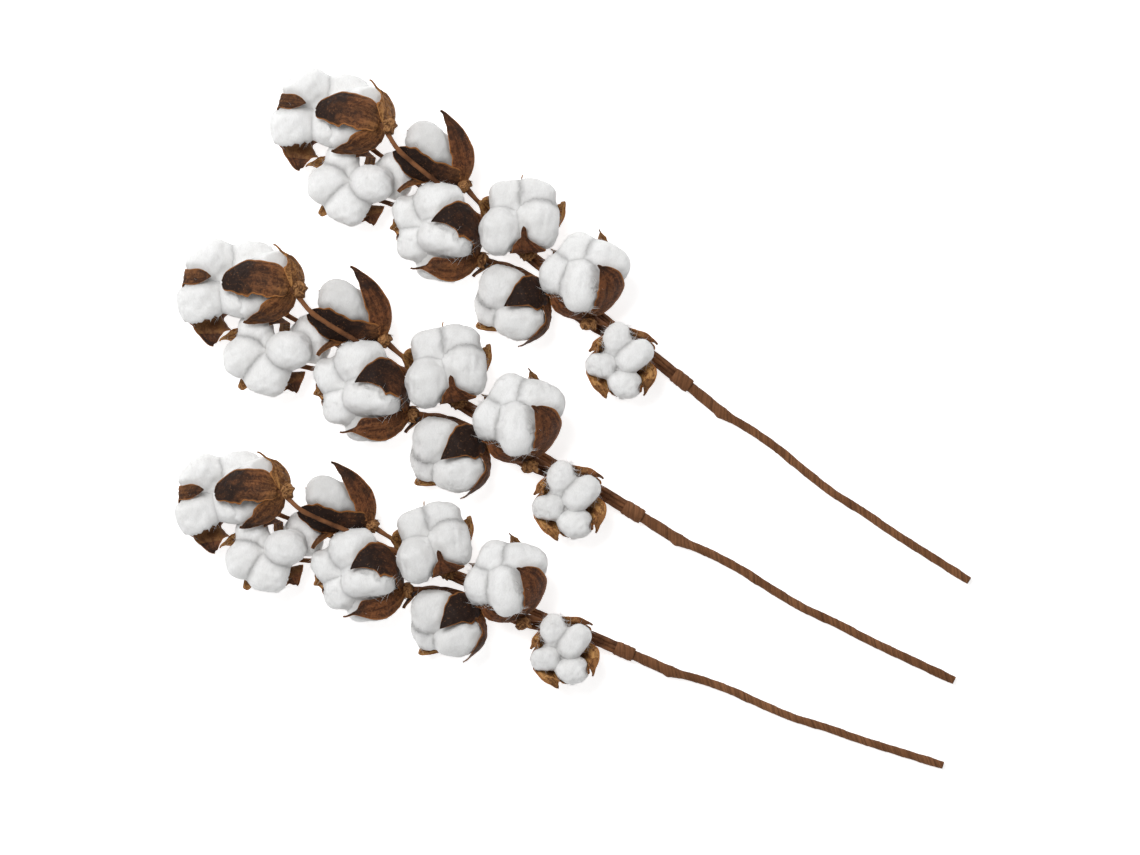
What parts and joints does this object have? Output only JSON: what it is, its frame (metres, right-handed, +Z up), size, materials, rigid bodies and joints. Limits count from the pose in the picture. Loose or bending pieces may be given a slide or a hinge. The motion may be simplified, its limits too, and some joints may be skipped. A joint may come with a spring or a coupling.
{
  "type": "cotton stem bunch",
  "caption": "A bunch of dried cotton stems lying flat, each a spray of open white bolls in brown burs whose stalks are taped into one thin stem.",
  "frame": {"origin": "middle of the whole bunch in plan, on the surface that it lies on", "axes": "+X from the bolls towards the cut ends, +Y across the bunch towards the far stem, +Z up from the surface"},
  "size_m": [0.5076, 0.4426, 0.0591],
  "materials": {
    "cotton": "matte, loose white fibre",
    "bur": "matte dry husk",
    "tape": "matte crepe paper tape"
  },
  "bodies": {
    "root": {"far_cotton_1": "cotton", "far_cotton_2": "cotton", "far_cotton_3": "cotton", "far_cotton_4": "cotton", "far_cotton_5": "cotton", "far_cotton_6": "cotton", "far_cotton_7": "cotton", "far_cotton_8": "cotton", "far_cotton_9": "cotton", "far_bur_and_stalk_1": "bur", "far_bur_and_stalk_2": "bur", "far_bur_and_stalk_3": "bur", "far_bur_and_stalk_4": "bur", "far_bur_and_stalk_5": "bur", "far_bur_and_stalk_6": "bur", "far_bur_and_stalk_7": "bur", "far_bur_and_stalk_8": "bur", "far_bur_and_stalk_9": "bur", "far_stem": "tape", "far_tape_collar": "tape", "middle_cotton_1": "cotton", "middle_cotton_2": "cotton", "middle_cotton_3": "cotton", "middle_cotton_4": "cotton", "middle_cotton_5": "cotton", "middle_cotton_6": "cotton", "middle_cotton_7": "cotton", "middle_cotton_8": "cotton", "middle_cotton_9": "cotton", "middle_bur_and_stalk_1": "bur", "middle_bur_and_stalk_2": "bur", "middle_bur_and_stalk_3": "bur", "middle_bur_and_stalk_4": "bur", "middle_bur_and_stalk_5": "bur", "middle_bur_and_stalk_6": "bur", "middle_bur_and_stalk_7": "bur", "middle_bur_and_stalk_8": "bur", "middle_bur_and_stalk_9": "bur", "middle_stem": "tape", "middle_tape_collar": "tape", "near_cotton_1": "cotton", "near_cotton_2": "cotton", "near_cotton_3": "cotton", "near_cotton_4": "cotton", "near_cotton_5": "cotton", "near_cotton_6": "cotton", "near_cotton_7": "cotton", "near_cotton_8": "cotton", "near_cotton_9": "cotton", "near_bur_and_stalk_1": "bur", "near_bur_and_stalk_2": "bur", "near_bur_and_stalk_3": "bur", "near_bur_and_stalk_4": "bur", "near_bur_and_stalk_5": "bur", "near_bur_and_stalk_6": "bur", "near_bur_and_stalk_7": "bur", "near_bur_and_stalk_8": "bur", "near_bur_and_stalk_9": "bur", "near_stem": "tape", "near_tape_collar": "tape"}
  },
  "joints": []
}
